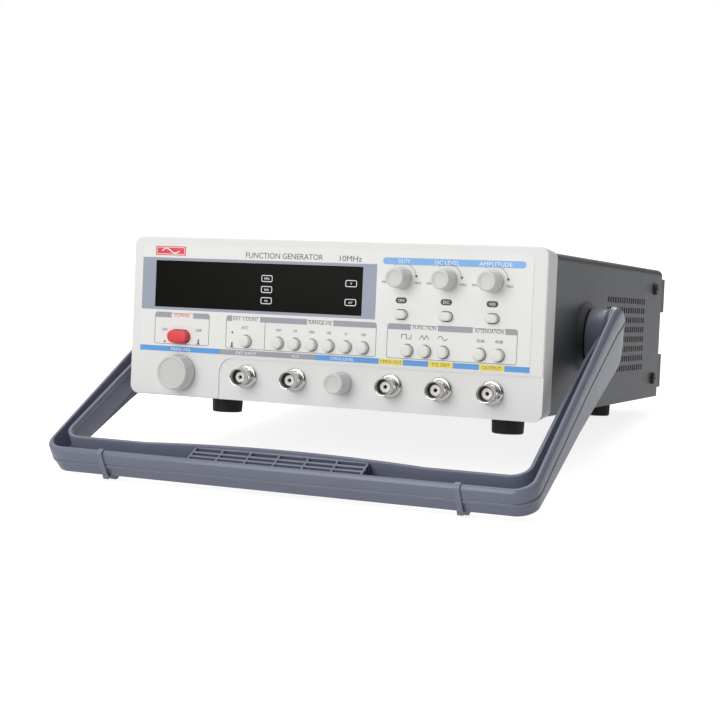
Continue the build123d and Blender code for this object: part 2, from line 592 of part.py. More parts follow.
def stand_tilt():
    """Angle of the line that touches both a handle pad and the rear edge of a rear foot."""
    angle = math.radians(HANDLE_ANGLE)
    pad_y = PIVOT_Y - PAD_U * math.cos(angle) - PAD_N * math.sin(angle)
    pad_z = PIVOT_Z - PAD_U * math.sin(angle) + PAD_N * math.cos(angle)
    foot_y = FOOT_Y[1] + FOOT_R - FOOT_EDGE
    foot_z = FOOT_Z + FOOT_EDGE
    reach = math.hypot(foot_y - pad_y, foot_z - pad_z)
    slope = math.atan2(foot_z - pad_z, foot_y - pad_y)
    return math.degrees(slope + math.asin((PAD_R - FOOT_EDGE) / reach))


def place():
    """Tip every piece onto its stand and put the origin under the middle of the whole."""
    tilt = stand_tilt()
    groups = {}
    for name, piece in PIECES.items():
        members = piece if isinstance(piece, list) else [piece]
        groups[name] = [solid for member in members for solid in (Rot(-tilt, 0, 0) * member).solids()]
    box = Compound([solid for group in groups.values() for solid in group]).bounding_box()
    shift = Vector(-(box.min.X + box.max.X) / 2, -(box.min.Y + box.max.Y) / 2, -box.min.Z)
    print("tilt", round(tilt, 4), "shift", tuple(round(value, 4) for value in shift))
    for name, group in groups.items():
        placed = [Pos(shift) * solid for solid in group]
        export_step(placed[0] if len(placed) == 1 else Compound(placed), "parts/" + name + ".step")


make_front()
make_case()
make_feet()
make_screws()
make_buttons()
make_knobs()
make_jacks()
make_inside()
make_inlet()
make_handle()
place()
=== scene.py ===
import json
import math

import bmesh
import bpy
from mathutils import Matrix, Vector


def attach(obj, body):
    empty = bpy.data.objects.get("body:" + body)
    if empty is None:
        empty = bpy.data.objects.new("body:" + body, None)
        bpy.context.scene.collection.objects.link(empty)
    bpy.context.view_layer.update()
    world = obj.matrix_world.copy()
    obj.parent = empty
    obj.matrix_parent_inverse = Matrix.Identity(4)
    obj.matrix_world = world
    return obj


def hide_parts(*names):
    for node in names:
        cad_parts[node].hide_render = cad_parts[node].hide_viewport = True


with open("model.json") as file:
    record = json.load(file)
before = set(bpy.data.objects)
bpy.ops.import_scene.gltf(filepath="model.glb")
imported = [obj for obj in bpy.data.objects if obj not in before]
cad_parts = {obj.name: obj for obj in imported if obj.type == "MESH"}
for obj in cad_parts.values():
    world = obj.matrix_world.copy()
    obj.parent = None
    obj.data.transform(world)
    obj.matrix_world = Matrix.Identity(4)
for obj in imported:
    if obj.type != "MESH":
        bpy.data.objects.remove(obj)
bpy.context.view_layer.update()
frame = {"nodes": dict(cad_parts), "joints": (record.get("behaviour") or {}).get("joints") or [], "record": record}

# Pieces are drawn in millimetres in panel coordinates: X to the right, Y into the case, Z up the
# panel, from the middle of the front face's bottom edge. PANEL takes them to the row frame.
MM = 0.001
ROUND = 72
SMALL_ROUND = 40
HALF_ROUND = 18

# ---- sizes and places that the pieces share with the CAD model ----
OVERLAY_FACE = -0.2
WINDOW_FACE = 0.0
FIELD_FACE = 0.6
PRINT_T = 0.05
SMALL_KNOB_R, SMALL_KNOB_L = 5.5, 10.3
FREQ_KNOB_R, FREQ_KNOB_L = 10.0, 8.2
CMOS_KNOB_R = 6.0
KNOB_GAP = 1.0
BUTTON_R, BUTTON_PROUD = 3.1, 3.4
OVAL_W, OVAL_H = 7.0, 4.6
POWER_W, POWER_H, POWER_PROUD = 12.6, 7.0, 4.0
BNC_Z = 13.2
BNC_X = [-46.7, -17.2, 37.8, 65.4, 93.1]
SMALL_KNOB_Z = 69.5
SMALL_KNOBS = {"knob_duty": 42.0, "knob_dc_level": 66.8, "knob_amplitude": 91.5}
CMOS_KNOB_AT = (9.8, 13.2)
FREQ_KNOB_AT = (-88.2, 13.3)
OVAL_Z = 50.8
OVAL_BUTTONS = {"button_duty": 42.2, "button_offset": 67.0, "button_wide": 91.8}
POWER_AT = (-88.9, 33.0)
BUTTON_Z = 32.4
ROUND_BUTTONS = {"button_ext": -47.5, "button_square": 46.5, "button_triangle": 56.4,
                 "button_sine": 66.3, "button_20db": 86.0, "button_40db": 95.9}
RANGES = ["10M", "1M", "100k", "10k", "1k", "100"]
RANGE_X0, RANGE_PITCH = -28.0, 9.95


def joint(name):
    return next(entry for entry in frame["joints"] if entry["name"] == name)


def panel_matrix():
    into = Vector(joint("button_power_press")["axis"])
    across = Vector((1, 0, 0))
    turn = Matrix((across, into, across.cross(into))).transposed()
    corners = [turn.transposed() @ vertex.co for vertex in frame["nodes"]["front_bezel"].data.vertices]
    middle = (min(c.x for c in corners) + max(c.x for c in corners)) / 2
    corner = Vector((middle, min(c.y for c in corners), min(c.z for c in corners)))
    return Matrix.Translation(turn @ corner) @ turn.to_4x4()


PANEL = panel_matrix()


# ---- materials ----
MIX_FIRST, MIX_SECOND, MIX_RESULT = 6, 7, 2    # the colour sockets of a Mix node


class Nodes:
    """Short calls for building a material's nodes."""

    def __init__(self, name):
        self.material = bpy.data.materials.new(name)
        self.material.use_nodes = True
        self.tree = self.material.node_tree
        self.shader = self.tree.nodes["Principled BSDF"]
        self.place = self.add("ShaderNodeTexCoord").outputs["Object"]

    def add(self, kind, **settings):
        node = self.tree.nodes.new(kind)
        for key, value in settings.items():
            setattr(node, key, value)
        return node

    def link(self, output, node, socket):
        self.tree.links.new(output, node.inputs[socket])

    def noise(self, scale, detail, stretch=None):
        node = self.add("ShaderNodeTexNoise")
        node.inputs["Scale"].default_value = scale
        node.inputs["Detail"].default_value = detail
        place = self.place
        if stretch:
            mapping = self.add("ShaderNodeMapping")
            mapping.inputs["Scale"].default_value = stretch
            self.link(place, mapping, "Vector")
            place = mapping.outputs["Vector"]
        self.link(place, node, "Vector")
        return node.outputs["Fac"]

    def ramp(self, factor, stops):
        node = self.add("ShaderNodeValToRGB")
        while len(node.color_ramp.elements) < len(stops):
            node.color_ramp.elements.new(0.5)
        for element, (position, color) in zip(node.color_ramp.elements, stops):
            element.position = position
            element.color = (*color, 1.0)
        self.link(factor, node, "Fac")
        return node.outputs["Color"]

    def between(self, factor, low, high):
        node = self.add("ShaderNodeMapRange")
        node.inputs["To Min"].default_value = low
        node.inputs["To Max"].default_value = high
        self.link(factor, node, "Value")
        return node.outputs["Result"]

    def mix(self, factor, first, color):
        """From the first output to a plain colour."""
        node = self.add("ShaderNodeMix", data_type="RGBA")
        self.link(factor, node, "Factor")
        self.link(first, node, MIX_FIRST)
        node.inputs[MIX_SECOND].default_value = (*color, 1.0)
        return node.outputs[MIX_RESULT]

    def bump(self, height, distance):
        node = self.add("ShaderNodeBump")
        node.inputs["Distance"].default_value = distance
        node.inputs["Strength"].default_value = 1.0
        self.link(height, node, "Height")
        self.link(node.outputs["Normal"], self.shader, "Normal")


def shade(color, share):
    return tuple(min(1.0, channel * share) for channel in color)


def moulded(name, color, rough, grain=2600, depth=0.00002, vary=0.05, wear=0.0, coat=0.0, shine=0.5):
    """Moulded plastic, rubber or powder coat: fine grain, slight mottling, edges rubbed lighter."""
    made = Nodes(name)
    shader = made.shader
    shader.inputs["Coat Weight"].default_value = coat
    shader.inputs["Specular IOR Level"].default_value = shine
    tone = made.ramp(made.noise(35, 5), [(0.3, shade(color, 1 - vary)), (0.7, shade(color, 1 + vary))])
    if wear:
        edge = made.ramp(made.add("ShaderNodeNewGeometry").outputs["Pointiness"],
                         [(0.53, (0, 0, 0)), (0.62, (wear, wear, wear))])
        tone = made.mix(edge, tone, shade(color, 1.9))
    made.link(tone, shader, "Base Color")
    made.link(made.between(made.noise(180, 3), rough - 0.05, rough + 0.05), shader, "Roughness")
    made.bump(made.noise(grain, 2), depth)
    return made.material


def plated(name, color, rough, stretch=(1, 1, 1)):
    """Metal with fine machining marks and a slight change of tone."""
    made = Nodes(name)
    made.shader.inputs["Metallic"].default_value = 1.0
    tone = made.ramp(made.noise(220, 4), [(0.3, shade(color, 0.9)), (0.7, color)])
    made.link(tone, made.shader, "Base Color")
    marks = made.noise(900, 3, stretch)
    made.link(made.between(marks, rough * 0.7, rough * 1.3), made.shader, "Roughness")
    made.bump(marks, 0.000004)
    return made.material


def ink(name, color):
    """Screen-printed ink: slightly uneven in density."""
    return moulded(name, color, 0.5, grain=6000, depth=0.000004, vary=0.035)


def board_material():
    """Solder mask over copper tracks."""
    made = Nodes("circuit_board")
    tracks = made.add("ShaderNodeTexBrick")
    tracks.inputs["Scale"].default_value = 90
    tracks.inputs["Mortar Size"].default_value = 0.06
    made.link(made.place, tracks, "Vector")
    mask = made.ramp(made.noise(60, 4), [(0.35, (0.012, 0.10, 0.04)), (0.65, (0.02, 0.14, 0.055))])
    made.link(made.mix(tracks.outputs["Fac"], mask, (0.05, 0.22, 0.09)), made.shader, "Base Color")
    made.shader.inputs["Roughness"].default_value = 0.35
    made.bump(tracks.outputs["Fac"], 0.00003)
    return made.material


MATERIALS = {
    "bezel_plastic": moulded("bezel_plastic", (0.76, 0.76, 0.75), 0.52,
                             grain=2200, depth=0.000018, vary=0.012),
    "overlay_print": moulded("overlay_print", (0.78, 0.78, 0.75), 0.42,
                             grain=5000, depth=0.000006, vary=0.010),
    "window_tint": moulded("window_tint", (0.006, 0.006, 0.005), 0.2,
                           grain=900, depth=0.000002, vary=0.10, shine=0.05),
    "case_paint": moulded("case_paint", (0.083, 0.089, 0.097), 0.42,
                          grain=1500, depth=0.00004, vary=0.05, wear=0.10, shine=0.32),
    "zinc_steel": plated("zinc_steel", (0.62, 0.63, 0.64), 0.35),
    "black_rubber": moulded("black_rubber", (0.006, 0.0065, 0.0065), 0.62,
                            grain=1300, depth=0.00004, vary=0.2),
    "bumper_plastic": moulded("bumper_plastic", (0.04, 0.042, 0.046), 0.45,
                              grain=1600, depth=0.00004, vary=0.1, wear=0.1),
    "black_screw": moulded("black_screw", (0.014, 0.014, 0.015), 0.42,
                           grain=1500, depth=0.00001, vary=0.15),
    "handle_plastic": moulded("handle_plastic", (0.148, 0.160, 0.215), 0.32,
                              grain=1900, depth=0.000004, vary=0.04, wear=0.15, coat=0.15, shine=0.42),
    "red_button": moulded("red_button", (0.72, 0.045, 0.05), 0.36,
                          grain=2500, depth=0.00001, vary=0.04),
    "button_plastic": moulded("button_plastic", (0.74, 0.73, 0.69), 0.38,
                              grain=2600, depth=0.00001, vary=0.02),
    "knob_plastic": moulded("knob_plastic", (0.60, 0.60, 0.58), 0.36,
                            grain=2400, depth=0.000015, vary=0.02),
    "nickel": plated("nickel", (0.66, 0.65, 0.63), 0.16),
    "bore_metal": plated("bore_metal", (0.42, 0.40, 0.38), 0.42),
    "ptfe": moulded("ptfe", (0.86, 0.84, 0.80), 0.4, grain=2600, depth=0.00001, vary=0.03),
    # The contact's gold is painted very dark: painted shade, as the contact sits in shadow deep inside the jack.
    "gold_contact": plated("gold_contact", (0.16, 0.12, 0.07), 0.45),
    "circuit_board": board_material(),
    "digit_plastic": moulded("digit_plastic", (0.035, 0.035, 0.035), 0.3, vary=0.15),
    "core_steel": plated("core_steel", (0.16, 0.16, 0.17), 0.5, (1, 1, 40)),
    "coil_tape": moulded("coil_tape", (0.70, 0.52, 0.12), 0.35, grain=400, depth=0.0001, vary=0.1),
    "heat_sink_aluminium": plated("heat_sink_aluminium", (0.62, 0.63, 0.65), 0.4, (1, 1, 0.05)),
    "capacitor_sleeve": moulded("capacitor_sleeve", (0.03, 0.04, 0.12), 0.25, vary=0.1),
    "switch_plastic": moulded("switch_plastic", (0.05, 0.05, 0.05), 0.4, vary=0.1),
    "pot_metal": plated("pot_metal", (0.55, 0.55, 0.56), 0.3),
}
INKS = {
    "ink_grey": ink("ink_grey", (0.33, 0.335, 0.375)),
    "ink_surround": ink("ink_surround", (0.31, 0.345, 0.42)),
    "ink_line": ink("ink_line", (0.20, 0.20, 0.21)),
    "ink_text": ink("ink_text", (0.085, 0.085, 0.09)),
    "ink_blue": ink("ink_blue", (0.10, 0.325, 0.71)),
    "ink_pale_blue": ink("ink_pale_blue", (0.22, 0.45, 0.80)),
    "ink_yellow": ink("ink_yellow", (0.83, 0.68, 0.10)),
    "ink_olive": ink("ink_olive", (0.20, 0.16, 0.02)),
    "ink_red": ink("ink_red", (0.72, 0.05, 0.075)),
    "ink_white": ink("ink_white", (0.88, 0.88, 0.88)),
    "ink_dark": ink("ink_dark", (0.05, 0.05, 0.055)),
    "ink_ground": MATERIALS["overlay_print"],
}

for part in frame["record"]["subparts"]:
    for material_slot in frame["nodes"][part["node"]].material_slots:
        material_slot.material = MATERIALS[part["material_slot"]]


# ---- mesh helpers ----
def finish_mesh(bm, name, sharp=32):
    """The finished mesh, smooth except where faces meet at more than sharp degrees."""
    bmesh.ops.remove_doubles(bm, verts=bm.verts, dist=1e-5)
    bmesh.ops.recalc_face_normals(bm, faces=bm.faces)
    mesh = bpy.data.meshes.new(name)
    bm.to_mesh(mesh)
    bm.free()
    mesh.shade_smooth()
    mesh.set_sharp_from_angle(angle=math.radians(sharp))
    return mesh


def add_piece(mesh, body, material, replaced=(), place=None):
    """Puts a mesh drawn in millimetres in its place, on its body, instead of the CAD nodes it replaces."""
    mesh.transform((place or PANEL) @ Matrix.Scale(MM, 4))
    mesh.materials.append(material)
    piece = bpy.data.objects.new(mesh.name, mesh)
    bpy.context.scene.collection.objects.link(piece)
    if replaced:
        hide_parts(*replaced)
    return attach(piece, body)


def loft(bm, rings, closed=False):
    """Skin through rings of points; the ends are capped unless the last ring joins the first."""
    loops = [[bm.verts.new(point) for point in ring] for ring in rings]
    pairs = list(zip(loops, loops[1:]))
    if closed:
        pairs.append((loops[-1], loops[0]))
    for low, high in pairs:
        for i in range(len(low)):
            k = (i + 1) % len(low)
            bm.faces.new((low[i], low[k], high[k], high[i]))
    if not closed:
        bm.faces.new(loops[0][::-1])
        bm.faces.new(loops[-1])


def circle(x, z, radius, y, count=ROUND):
    angles = (2 * math.pi * i / count for i in range(count))
    return [Vector((x + radius * math.cos(a), y, z + radius * math.sin(a))) for a in angles]


def stadium(x, z, width, height, y, inset):
    """An outline with two straight sides and two round ends, shrunk by the inset."""
    radius = height / 2 - inset
    run = (width - height) / 2
    points = []
    for side, start in ((1, -90), (-1, 90)):
        for i in range(HALF_ROUND + 1):
            a = math.radians(start + 180 * i / HALF_ROUND)
            points.append(Vector((x + side * run + radius * math.cos(a), y, z + radius * math.sin(a))))
    return points


def corner_arc(radius, steps=5):
    """(inset, drop) pairs round a convex edge, from the side to the face."""
    angles = (math.pi / 2 * i / steps for i in range(steps + 1))
    return [(radius * (1 - math.cos(a)), radius * (1 - math.sin(a))) for a in angles]


def turned(bm, x, z, profile, count=ROUND, closed=False):
    """Solid of revolution about Y; the profile is (radius, y)."""
    loft(bm, [circle(x, z, radius, y, count) for radius, y in profile], closed)


# ---- knobs and buttons ----
KNOB_POINTER = math.radians(62)
KNOB_TAPER = 0.93
KNOB_RIM = 0.8
DISH_EDGE, DISH_DEPTH, DISH_CROWN = 1.5, 0.42, 0.14
MARK_HALF, MARK_PROUD, MARK_DEEP = 0.32, 0.04, 0.5
SHAFT_R, SHAFT_END = 3.0, 15.9
STEM, STEM_START, STEM_END = 3.0, 0.9, 12.9


def knob_profile(radius, length, back):
    """Back edge, tapering side, rounded rim, and a shallow dish in the face."""
    front = back - length
    profile = [(radius * 0.8, back), (radius - 0.25, back), (radius, back - 0.25)]
    rim = radius * KNOB_TAPER
    profile += [(rim - inset, front + drop) for inset, drop in corner_arc(KNOB_RIM, 7)]
    dish = rim - DISH_EDGE
    profile += [(dish + 0.2, front + 0.02), (dish, front + 0.12), (dish - 0.45, front + DISH_DEPTH)]
    return profile + [(dish * share, front + DISH_DEPTH + DISH_CROWN * (1 - share))
                      for share in (0.75, 0.5, 0.25, 0.06)]


def make_knob(name, x, z, radius, length, face, shaft=True):
    """A turned knob with a white line along its side, and its shaft if that is moulded on."""
    bm = bmesh.new()
    back = face - KNOB_GAP
    front = back - length
    turned(bm, x, z, knob_profile(radius, length, back))
    if shaft:
        turned(bm, x, z, [(SHAFT_R, back + 0.1), (SHAFT_R, SHAFT_END)], SMALL_ROUND)
    add_piece(finish_mesh(bm, name + "_shell"), name, MATERIALS["knob_plastic"], [name])
    line = bmesh.new()
    rings = []
    for y in (front + 1.3, back - 1.2):
        side = radius * (KNOB_TAPER + (1 - KNOB_TAPER) * (y - front) / length)
        inside, outside = side - MARK_DEEP, side + MARK_PROUD
        points = [(inside, -MARK_HALF), (outside, -MARK_HALF), (outside, MARK_HALF), (inside, MARK_HALF)]
        rings.append([Vector((x + r * math.cos(KNOB_POINTER) - t * math.sin(KNOB_POINTER), y,
                              z + r * math.sin(KNOB_POINTER) + t * math.cos(KNOB_POINTER)))
                      for r, t in points])
    loft(line, rings)
    add_piece(finish_mesh(line, name + "_mark"), name, INKS["ink_white"])


for knob_name, knob_x in SMALL_KNOBS.items():
    make_knob(knob_name, knob_x, SMALL_KNOB_Z, SMALL_KNOB_R, SMALL_KNOB_L, OVERLAY_FACE)
make_knob("knob_cmos_level", *CMOS_KNOB_AT, CMOS_KNOB_R, SMALL_KNOB_L, FIELD_FACE)
make_knob("knob_frequency", *FREQ_KNOB_AT, FREQ_KNOB_R, FREQ_KNOB_L, 0.0, shaft=False)


def make_button(name, outline, stem_at, proud, edge, material):
    """A cap with a rounded edge and a slightly domed face, and the stem behind it."""
    bm = bmesh.new()
    rings = [outline(0.15, 1.0), outline(0.0, 0.85)]
    rings += [outline(inset, drop - proud) for inset, drop in corner_arc(edge)]
    rings += [outline(edge + 0.7, -proud - 0.06), outline(edge + 1.2, -proud - 0.08)]
    loft(bm, rings)
    x, z = stem_at
    half = STEM / 2
    square = ((-half, -half), (half, -half), (half, half), (-half, half))
    loft(bm, [[Vector((x + dx, y, z + dz)) for dx, dz in square] for y in (STEM_START, STEM_END)])
    add_piece(finish_mesh(bm, name + "_cap"), name, MATERIALS[material], [name])


for range_number, label in enumerate(RANGES):
    ROUND_BUTTONS["button_range_" + label.lower()] = RANGE_X0 + RANGE_PITCH * range_number
for button_name, button_x in ROUND_BUTTONS.items():
    make_button(button_name, lambda inset, y, x=button_x: circle(x, BUTTON_Z, BUTTON_R - inset, y, 48),
                (button_x, BUTTON_Z), BUTTON_PROUD, 0.75, "button_plastic")
for button_name, button_x in OVAL_BUTTONS.items():
    make_button(button_name, lambda inset, y, x=button_x: stadium(x, OVAL_Z, OVAL_W, OVAL_H, y, inset),
                (button_x, OVAL_Z), BUTTON_PROUD, 0.7, "button_plastic")
make_button("button_power", lambda inset, y: stadium(*POWER_AT, POWER_W, POWER_H, y, inset),
            POWER_AT, POWER_PROUD, 1.0, "red_button")


# ---- coaxial jacks ----
JACK_BARREL_R, JACK_NECK_R, JACK_FLANGE_R = 4.8, 4.6, 6.5
JACK_BORE_R, JACK_INNER_R = 4.05, 2.8
JACK_MOUTH, JACK_END, JACK_FLOOR = -10.1, 12.0, 8.2
JACK_SIDES = 64
LINER_T = 0.1
LUG_Y = -5.9
LUG_STEPS = [(4.2, 1.0), (5.25, 1.0), (5.42, 0.93), (5.5, 0.75)]    # (reach, radius) out from the axis


def lug_ring(x, reach, radius):
    """A ring round a lug, which stands out sideways from the jack's axis at x."""
    return [Vector((x + reach, LUG_Y + radius * math.cos(a), BNC_Z + radius * math.sin(a)))
            for a in (2 * math.pi * i / 24 for i in range(24))]


def make_jacks():
    """Plated shells: flange, neck, barrel with a rolled mouth, and two bayonet lugs."""
    bm = bmesh.new()
    flange = [(JACK_NECK_R, JACK_END), (JACK_NECK_R, 0.7), (6.3, 0.6), (JACK_FLANGE_R, 0.45),
              (JACK_FLANGE_R, -0.35), (6.35, -0.55), (5.6, -0.9), (5.2, -0.9), (4.9, -1.15)]
    barrel = [(JACK_NECK_R, -1.5), (JACK_NECK_R, -6.7), (JACK_BARREL_R, -6.9)]
    lip = [(JACK_BARREL_R, 0.35), (4.7, 0.1), (4.5, 0.0), (4.28, 0.06), (4.1, 0.4), (JACK_BORE_R, 1.0),
           (JACK_BORE_R, JACK_FLOOR), (JACK_INNER_R, JACK_FLOOR)]
    profile = flange + barrel + [(radius, JACK_MOUTH + depth) for radius, depth in lip]
    profile.append((JACK_INNER_R, JACK_END))
    for x in BNC_X:
        turned(bm, x, BNC_Z, profile, JACK_SIDES, closed=True)
        for side in (-1, 1):
            loft(bm, [lug_ring(x, side * reach, radius) for reach, radius in LUG_STEPS])
    add_piece(finish_mesh(bm, "jack_shells"), "root", MATERIALS["nickel"], ["bnc_shells"])


def make_jack_bores():
    """The plainer metal inside each barrel: a thin lining of the bore and its floor."""
    bm = bmesh.new()
    outer, inner = JACK_BORE_R - 0.02, JACK_INNER_R + 0.02
    start, floor = JACK_MOUTH + 1.1, JACK_MOUTH + JACK_FLOOR - 0.05
    lining = [(outer, start), (outer, floor), (inner, floor), (inner, floor - LINER_T),
              (outer - LINER_T, floor - LINER_T), (outer - LINER_T, start + LINER_T)]
    for x in BNC_X:
        turned(bm, x, BNC_Z, lining, JACK_SIDES, closed=True)
    add_piece(finish_mesh(bm, "jack_bores"), "root", MATERIALS["bore_metal"])


make_jacks()
make_jack_bores()


# ---- handle ----
# Drawn in the handle's own frame: X to the right, U from the pivot to the grip, N up.
PIVOT_Y, PIVOT_Z, HANDLE_ANGLE = 88.0, 41.7, 30.0
HANDLE_X, HANDLE_L = 135.8, 163.9
ARM_T, GRIP_DEPTH = 7.8, 13.9
OUTER_CORNER_R, INNER_CORNER_R = 12.0, 8.5
CORNER_STEPS = 14
GRIP_BULGE, BULGE_HALF = 3.5, 78.0
DISC_R, BARREL_R = 17.8, 16.5
OUTER_WALL, INNER_WALL = 2.8, 2.0
SKIRT_T = 3.0                    # the outer wall where it hangs below the inner one
RIDGE_STEP, LIP_STEP, LIP_H = 0.7, 0.6, 2.9
CHANNEL_FLOOR = 3.0
BEVEL = 1.4
BAND_TAPER, BAND_TURN = 1.7, 1.0
# (U, N) stops of the arms' edges beyond the pivot's disc: the top, and the feet of the inner and outer walls
UPPER_EDGE = [(150.0, 14.4), (HANDLE_L, 14.4)]
INNER_EDGE = [(80.0, -0.8), (HANDLE_L, -0.8)]
OUTER_EDGE = [(80.0, -8.2), (141.0, -3.6), (HANDLE_L, -1.4)]
# (U, N) stops of the ridge along the outer face, and of the inner wall's top, which leaves the barrel
RIDGE_N = [(-20, 2.0), (-14, 2.6), (-6, 3.6), (1, 4.9), (30, 6.0), (60, 7.1), (200, 7.1)]
INNER_TOP = [(-20, 9.0), (12, 9.6), (20.3, 10.6), (44.5, 12.9), (90, 13.7), (150, 14.1), (200, 14.1)]
# where the skin has a section: U along an arm, and X along half of the grip
ARM_SECTIONS = (-15.9, -15, -13, -10, -6, -2, 2, 6, 12, 16, 20.3, 26, 34, 44.5, 60, 70, 80, 90, 110, 130, 141.5)
GRIP_SECTIONS = (110, 100, 90, 78, 70, 60, 50, 40, 30, 20, 10, 0)
# the hub's outline as (radius, X), from its bore out along the barrel to the disc's rim and face
HUB = [(4.05, 120.5), (16.2, 120.5), (BARREL_R, 120.8), (BARREL_R, 129.3), (16.7, 130.6), (17.3, 131.6),
       (DISC_R + 0.2, 132.1), (DISC_R + 0.3, 132.7), (DISC_R + 0.1, 133.1), (17.2, 133.6), (16.9, 133.7),
       (0.4, 133.7), (0.4, 130.5), (4.05, 130.5)]
HUB_SIDES = 80
GRILLE_HALF, GRILLE_PITCH, GRILLE_BAR = 48.0, 16.0, 1.3
GRILLE_U0, GRILLE_U1 = 149.0, 161.4
GRILLE_LONG_BARS = [(148.3, 150.3), (153.0, 154.3), (156.5, 157.8)]    # U of each bar along the grip
GRILLE_TOP, GRILLE_FOOT, WELL_FLOOR = 13.3, 2.0, 8.3
BAR_EDGE = 0.25
HANDLE_PLACE = (PANEL @ Matrix.Translation((0, PIVOT_Y * MM, PIVOT_Z * MM))
                @ Matrix.Rotation(math.radians(HANDLE_ANGLE), 4, "X") @ Matrix.Diagonal((1, -1, 1, 1)))


def along(stops, at):
    """Straight lines through the (position, value) stops."""
    for (x0, y0), (x1, y1) in zip(stops, stops[1:]):
        if at <= x1:
            return y0 + (y1 - y0) * (at - x0) / (x1 - x0)
    return stops[-1][1]


def edge_n(u, edge, side):
    """Height of an edge at u: the pivot's disc, a tangent to the edge's first stop, then the stops."""
    end, end_n = edge[0]
    reach = math.hypot(end, end_n)
    touch = math.atan2(end_n, end) + side * math.acos(DISC_R / reach)
    tu, tn = DISC_R * math.cos(touch), DISC_R * math.sin(touch)
    if u <= tu:
        return side * math.sqrt(max(DISC_R ** 2 - u * u, 0.0))
    return along([(tu, tn)] + edge, u)


def grip_inner_u(x):
    """U of the grip's inner face, which swells towards the case in the middle."""
    return HANDLE_L - GRIP_DEPTH - GRIP_BULGE * max(0.0, 1 - (x / BULGE_HALF) ** 2)


def handle_stations():
    """(outer point, inner point, direction outwards) from the right pivot to the left one."""
    right = [((HANDLE_X, u), (HANDLE_X - ARM_T, u), 0.0) for u in ARM_SECTIONS]
    outer_c = (HANDLE_X - OUTER_CORNER_R, HANDLE_L - OUTER_CORNER_R)
    inner_c = (HANDLE_X - ARM_T - INNER_CORNER_R, HANDLE_L - GRIP_DEPTH - INNER_CORNER_R)
    for i in range(CORNER_STEPS + 1):
        a = math.pi / 2 * i / CORNER_STEPS
        points = [(c[0] + r * math.cos(a), c[1] + r * math.sin(a))
                  for c, r in ((outer_c, OUTER_CORNER_R), (inner_c, INNER_CORNER_R))]
        right.append((points[0], points[1], a))
    right += [((x, HANDLE_L), (x, grip_inner_u(x)), math.pi / 2) for x in GRIP_SECTIONS]
    left = [((-o[0], o[1]), (-q[0], q[1]), math.pi - a) for o, q, a in right[-2::-1]]
    return right + left


def handle_section(u_out, u_in):
    """The section as (from outside?, inset, n) points: up the outer face, through the channel, down inside."""
    top, bottom = edge_n(u_out, UPPER_EDGE, 1), edge_n(u_out, OUTER_EDGE, -1)
    flat = math.sqrt(max((DISC_R - BEVEL) ** 2 - min(u_out, 0.0) ** 2, 0.0))
    face_top, face_bottom = min(top - BEVEL, flat), max(bottom + BAND_TURN, -flat)
    # near the pivot the inner side stays inside the barrel
    hidden = math.sqrt(max((BARREL_R - 0.4) ** 2 - min(u_in, 15.0) ** 2, 0.0))
    low = edge_n(u_in, INNER_EDGE, -1)
    if u_in < 15:
        low = max(low, -hidden)
    inner_top = along(INNER_TOP, u_in)
    if u_in < 12:
        inner_top = min(inner_top, hidden)
    floor = min(low + CHANNEL_FLOOR, inner_top - LIP_H)
    ridge = along(RIDGE_N, u_out)
    skirt = [(SKIRT_T + 0.3, low), (SKIRT_T, low - 0.2), (SKIRT_T, bottom + 0.2), (SKIRT_T - 0.2, bottom)]
    lower_band = [(BAND_TAPER + 1.0, bottom), (BAND_TAPER + 0.3, (bottom * 3 + face_bottom) / 4),
                  (BAND_TAPER, face_bottom), (RIDGE_STEP, max(ridge - 2.7, face_bottom + 0.05))]
    bead = [(inset, max(ridge - down, face_bottom + least))
            for inset, down, least in ((0.35, 2.5, 0.1), (0.08, 1.9, 0.15), (0.0, 1.2, 0.2), (0.15, 0.6, 0.25))]
    groove = [(RIDGE_STEP, ridge - 0.15), (RIDGE_STEP, ridge), (0.05, ridge + 0.2), (0.0, ridge + 0.3)]
    rim = [(0.0, face_top - 0.1), (0.15, face_top + 0.15), (BEVEL - 0.15, top - 0.15), (BEVEL + 0.1, top),
           (OUTER_WALL - 0.35, top), (OUTER_WALL - 0.05, top - 0.12), (OUTER_WALL, top - 0.45)]
    channel = [(OUTER_WALL, floor + 0.5), (OUTER_WALL + 0.35, floor)]
    outer = skirt + lower_band + bead + groove + rim + channel
    inner = [(INNER_WALL + 0.35, floor), (INNER_WALL, floor + 0.5), (INNER_WALL, inner_top - 0.35),
             (INNER_WALL - 0.25, inner_top), (0.5, inner_top), (0.1, inner_top - 0.15),
             (0.0, inner_top - 0.5), (0.0, inner_top - LIP_H), (0.15, inner_top - LIP_H - 0.3),
             (LIP_STEP, inner_top - LIP_H - 0.5), (LIP_STEP, low + 0.8), (LIP_STEP + 0.3, low + 0.15),
             (LIP_STEP + 1.0, low)]
    return [(True, *point) for point in outer] + [(False, *point) for point in inner]


def grille_boxes():
    """(x0, x1, u0, u1, n0, n1) of the bars along and across the grip, and of the floor under them."""
    half_bar = GRILLE_BAR / 2
    end = GRILLE_HALF + half_bar
    boxes = [(-end, end, u0, u1, GRILLE_FOOT, GRILLE_TOP) for u0, u1 in GRILLE_LONG_BARS]
    boxes += [(GRILLE_PITCH * i - half_bar, GRILLE_PITCH * i + half_bar, GRILLE_U0, GRILLE_U1,
               GRILLE_FOOT, GRILLE_TOP + 0.03) for i in range(-3, 4)]
    return boxes + [(0.05 - end, end - 0.05, GRILLE_U0, GRILLE_U1, GRILLE_FOOT - 0.1, WELL_FLOOR)]


